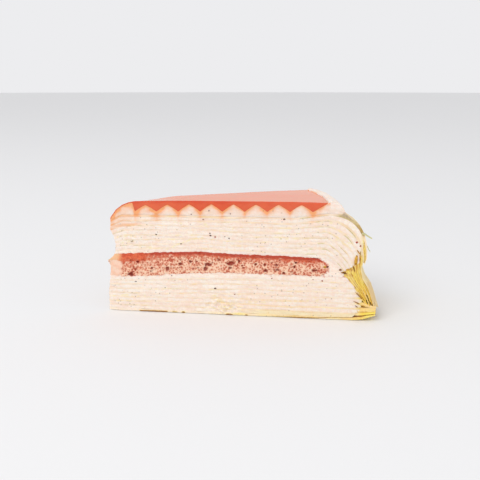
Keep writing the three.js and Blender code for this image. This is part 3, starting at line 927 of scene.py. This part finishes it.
def hangTones(n, skin, outer, edge, down, w, s):   # the same on the hanging edge
    brown = 0.85 * (1 - w) ** 2 * step(-0.35, 0.3, rough(down * 4, n * 2.3, s)) + 0.2 * step(0.85, 1, edge)
    brown += 0.9 * step(0.25, 0.04, down) * step(5.5, 3, n) * step(-0.25, 0.1, rough(down * 7, n * 3.1, s))
    brown += 0.7 * step(0.2, 0.02, down) * (n in (5, 6))
    pale = 0.7 * step(-0.8, -0.97, s) if skin else 0
    if not outer:
        pale = 0.3 * step(0, 0.4, rough(n * 5.5, down * 2))
    return min(1, brown * (0.5 if outer else 1)), 1 - pale


def makeUpperCrepe(n):
    bottom, top = (n - cake["crepeShare"]) / cake["upperCrepes"], n / cake["upperCrepes"]
    hang = drape["hangLengths"][n - 1]
    reach = drape["flatEnd"] + bendLength((bottom + top) / 2)
    span = reach + hang * drape["hangSpan"]
    outer = n >= cake["upperCrepes"] - 1
    skin = n == cake["upperCrepes"]
    ragged = drape["ragged"] * (5 if skin else 1)

    def surface(u, w, s):
        t, run = blend(bottom, top, w), u * span
        if run <= reach:
            past, r, z = upperPoint(t, run, reach, s)
            out = cutRelief(r, z, s) + crepeEdge(w, r, s, n + upperLayers)
            return (r, z, out, *bentTones(n, skin, outer, run, past, r, z, w, s))
        edge = (run - reach) / (span - reach)
        down = edge * hang * (1 + ragged * rough(s * 6 + n * 5, n))
        thick = blend(0.1, 0.15, step(1, 0.9, abs(s)))
        r, z = hangPoint(t, (n - 1) * drape["edgePitch"] + thick * w, min(1, down), s, n)
        out = (0.35 if n % 2 else -0.1) * step(0, 0.3, down) + 0.3 * rough(z / 3, n, s)
        return (r, max(0.3, z), out, *hangTones(n, skin, outer, edge, down, w, s))
    piece = wedge(f"upperCrepe{n}", surface, int(span / layerMesh["spacing"]), layerMesh["crepeThrough"],
                  drape["across"], 1.5)
    finish, slot = (rimCrepe, "rim_crepe") if outer else (paleCrepe, "crepe")
    finishPiece(piece, finish, slot, f"upper_crepe_{n}")


for n in range(1, cake["upperCrepes"] + 1):
    makeUpperCream(n)
    makeUpperCrepe(n)
print("upper half made")

topping = {"spacing": 0.3, "across": 60, "creamEnd": 101}


def skinTop(r):   # the skin's outer side, under the combed cream
    (startR, startZ), (waistR, waistZ) = drape["skinStart"], drape["skinWaist"]
    if r < startR:
        return lineAt(stackTopLine, r)
    power, past = drape["skinPower"], (r - startR) / (waistR - startR)
    return waistZ + (startZ - waistZ) * max(0, 1 - past ** power) ** (1 / power)


def makeCombedCream():
    def surface(u, w, s):
        r = u * topping["creamEnd"]
        low = skinTop(r) + 0.05
        high = combHeight(r) if r < cake["jellyEnd"] else lineAt(rimLine, r)
        z = blend(low, max(high, low + 0.05), w) - dip(r, s) * w
        if r > cake["jellyEnd"]:
            z += 0.35 * w * rough(s * 5, r / 5)
        return r, z, cutRelief(r, z, s), 0, 0
    along = int(topping["creamEnd"] / topping["spacing"])
    piece = wedge("combedCream", surface, along, 12, topping["across"])
    finishPiece(piece, combedCream, "cream", "combed_cream")


def makeJelly():
    def surface(u, w, s):
        r = u * cake["jellyEnd"]
        low, high = combHeight(r), jellyTop(r)
        z = blend(low, high, w) + 0.05 * w * rough(r / 15, s * 2) - dip(r, s)
        thin = max(0.2 * step(2.6, 0.5, high - low), 0.16 * step(60, 12, r), 0.14 * step(48, 62, r))
        # The top is marked for its paler colour, a painted reflection.
        top = 1.0 if w > 0.99 and abs(s) < 0.99 else 0.0
        edge = 0.55 * step(0.5, 0.95, w) * step(76, 50, r)
        return r, z, cutRelief(r, z, s) * 0.5 + 0.05, thin, top, edge
    piece = wedge("jelly", surface, int(cake["jellyEnd"] / topping["spacing"]), 6, topping["across"])
    finishPiece(piece, jellyLook(), "jelly", "jelly")


makeCombedCream()
makeJelly()
print("top made")

# Strips torn loose from the outer skin: s, radius and height at the root, length, droop.
tornStrips = [(-0.96, 108.2, 38, 4.4, 2.3), (-0.85, 110.4, 32.6, 2, 3.2), (0.35, 109, 36.5, 4, 4)]
strip = {"halfWidth": 0.08, "thickness": 0.55, "yellow": 0.8, "brown": 0.05}
# The skin's edge, turned up against the cream's rim: share of the fold, radius, height.
skinFold = {"path": [(0, 98.6, 45.5), (0.3, 99.8, 45.75), (0.55, 100.9, 46.9), (0.75, 102.1, 45.8),
                     (1, 104.3, 43.8)], "thickness": 0.5, "nearSide": -1.012, "farSide": -0.8, "lip": 0.3,
            "creamy": (45.5, 46.4)}   # between these heights it takes on the cream's colour
# Crumbs and seeds left on the near cut, and the browned ends of crepes where the stack is pinched, with
# their finish and slot. Each has radius, height, length, thickness and tilt.
bits = {
    "jamBits": ("jamBit", "berry_jam", [
        (9.2, 16.4, 1.3, 1, 0), (92.4, 16.7, 0.7, 0.55, 0), (106.3, 33.8, 0.9, 0.75, 30),
        (107.9, 32.3, 0.75, 0.65, 0), (46.6, 34.3, 0.7, 0.5, 0), (96.5, 19, 0.4, 0.3, 0),
        (55, 9.3, 0.6, 0.4, 0), (88.5, 17.2, 0.45, 0.35, 0), (71, 17, 0.6, 0.4, 0),
        (41.5, 41.8, 0.6, 0.4, 0)]),
    "vanillaSeeds": ("vanillaSeed", "cream", [
        (94.5, 22.9, 0.9, 0.8, 0), (20.8, 34.7, 0.8, 0.45, 0), (44.6, 34.9, 0.8, 0.6, -10),
        (36.3, 43.9, 0.5, 0.4, 0), (76, 42.8, 0.8, 0.55, 0), (46.5, 11.6, 0.9, 0.6, 0),
        (52.6, 33.9, 0.6, 0.45, -30), (50.8, 34.6, 0.5, 0.3, 0), (10, 31.4, 1, 0.3, 20),
        (53.2, 44.5, 0.5, 0.4, 0), (11.2, 13.4, 0.9, 0.35, 0), (31.7, 30.9, 0.8, 0.35, 20),
        (44, 45.6, 0.5, 0.35, 0)]),
    "toastedBits": ("toastedBit", "crepe", [
        (99.9, 21.8, 1.1, 0.8, 0), (101.5, 20.5, 2.6, 0.8, -12), (105.5, 22.4, 2.6, 0.5, -70),
        (108, 10.8, 4.8, 0.35, -47), (107.4, 7.6, 3.8, 0.4, -28), (107, 6.1, 1.5, 0.3, -35)]),
    "goldenBits": ("goldenBit", "crepe", [
        (93.4, 22.8, 1.3, 0.9, 0), (103, 22, 1.8, 0.7, 5), (106.2, 26, 4, 1.3, 84),
        (107.2, 29.6, 2.4, 0.5, -55), (109.4, 9.9, 3.8, 0.45, -52), (107.9, 27.5, 4.4, 0.6, 88),
        (110, 6.3, 2.6, 0.4, -14)]),
}


def makeStrip(name, s, r, z, length, droop):
    bm = grid(16, 3, 0.5, 0)
    for vert in bm.verts:
        part, side = vert.co.x, 2 * vert.co.y
        sway = 0.5 * part * rough(part * 2.5, r, s)
        width = strip["halfWidth"] * blend(1, 0.3, part)
        vert.co = place(r + length * part, z - droop * part ** 1.3 + sway, s + side * width)
    bmesh.ops.solidify(bm, geom=bm.faces[:], thickness=strip["thickness"] / 1000)
    for key in ("yellow", "brown"):
        layer = bm.verts.layers.float.new(key)
        for vert in bm.verts:
            vert[layer] = strip[key]
    finishPiece(solid(name, bm), tornCrepe, "rim_crepe")


def makeSkinFold():
    near, far, lip = skinFold["nearSide"], skinFold["farSide"], skinFold["lip"]
    bm = grid(14, 8, 0.5, 0.5)
    for vert in bm.verts:
        part, side = vert.co.x, vert.co.y
        r, z = lineAt(skinFold["path"], part)
        lie = min(z, skinTop(r) + 0.1)
        if side < lip:   # the near side closes the fold down to the skin
            s, z = near, blend(lie, z, side / lip)
        else:
            inward = (side - lip) / (1 - lip)
            s, z = blend(near, far, inward), blend(z, lie, inward)
        vert.co = place(r, z + 0.15 * rough(part * 4, side * 3), s)
    bmesh.ops.solidify(bm, geom=bm.faces[:], thickness=skinFold["thickness"] / 1000)
    layer = bm.verts.layers.float.new("yellow")
    for vert in bm.verts:
        vert[layer] = step(*skinFold["creamy"], vert.co.z * 1000)
    finishPiece(solid("skinFold", bm), foldCrepe, "rim_crepe")


def makeBits(name, finish, slot, pieces):
    bm = bmesh.new()
    for r, z, long, thick, tilt in pieces:
        made = bmesh.ops.create_icosphere(bm, subdivisions=3, radius=0.0005)
        turn = Matrix.Rotation(math.radians(-tilt), 3, "Y")
        for vert in made["verts"]:
            lump = 1 + 0.5 * rough(vert.co.x * 2500 + r, vert.co.y * 2500, vert.co.z * 2500)
            offset = Vector((vert.co.x * long, vert.co.y * thick * 0.6, vert.co.z * thick)) * lump
            vert.co = place(r, z, -1, 0.1) + turn @ offset
    finishPiece(solid(name, bm), jamLook(finish), slot)


for k, values in enumerate(tornStrips):
    makeStrip(f"tornStrip{k + 1}", *values)
makeSkinFold()
for name, values in bits.items():
    makeBits(name, *values)
print("torn pieces made")

studio = {
    "floor": tone("eaeaea"),
    "world": tone("ededef"),
    "worldStrength": 1.0,
    "lightPower": 8.6,
    "lightSize": 0.9,
    "lightSpot": (-0.7, -0.9, 1.1),
    "lightTarget": (0, 0, 0.02),
    "cameraSpot": (39.1, -322.9, 99.8),   # millimetres from the slice's tip
    "cameraAim": (0.05374, 0.97649, -0.20876),
    "lens": 56.25,
}


def makeFloor():
    bm = bmesh.new()
    bmesh.ops.create_circle(bm, cap_ends=True, segments=96, radius=6)
    bmesh.ops.translate(bm, verts=bm.verts, vec=(0, 0, -0.0002))
    floor = solid("floor", bm)
    look = Look("paleFloor")
    floor.data.materials.append(look.close({"Base Color": studio["floor"], "Roughness": 0.9,
                                            "Specular IOR Level": 0.1}))


def makeWorld():
    world = bpy.data.worlds.new("studioWorld")
    world.use_nodes = True
    back = world.node_tree.nodes["Background"]
    back.inputs["Color"].default_value = studio["world"]
    back.inputs["Strength"].default_value = studio["worldStrength"]
    bpy.context.scene.world = world


def aimed(name, data, spot, direction):
    thing = bpy.data.objects.new(name, data)
    bpy.context.scene.collection.objects.link(thing)
    thing.location = spot
    thing.rotation_mode = "QUATERNION"
    thing.rotation_quaternion = direction.to_track_quat("-Z", "Y")
    return thing


def makeLight():
    light = bpy.data.lights.new("keyLight", "AREA")
    light.energy, light.size = studio["lightPower"], studio["lightSize"]
    direction = Vector(studio["lightTarget"]) - Vector(studio["lightSpot"])
    aimed("keyLight", light, studio["lightSpot"], direction)


def makeCamera():
    data = bpy.data.cameras.new("camera")
    data.lens, data.sensor_width, data.clip_start = studio["lens"], 36, 0.01
    x, y, z = [value / 1000 for value in studio["cameraSpot"]]
    aim = Vector(studio["cameraAim"])
    bpy.context.scene.camera = aimed("camera", data, (tipX + x, middleY + y, z), aim)


makeFloor()
makeWorld()
makeLight()
makeCamera()
bpy.context.scene.view_settings.view_transform = "Standard"
print("studio ready")
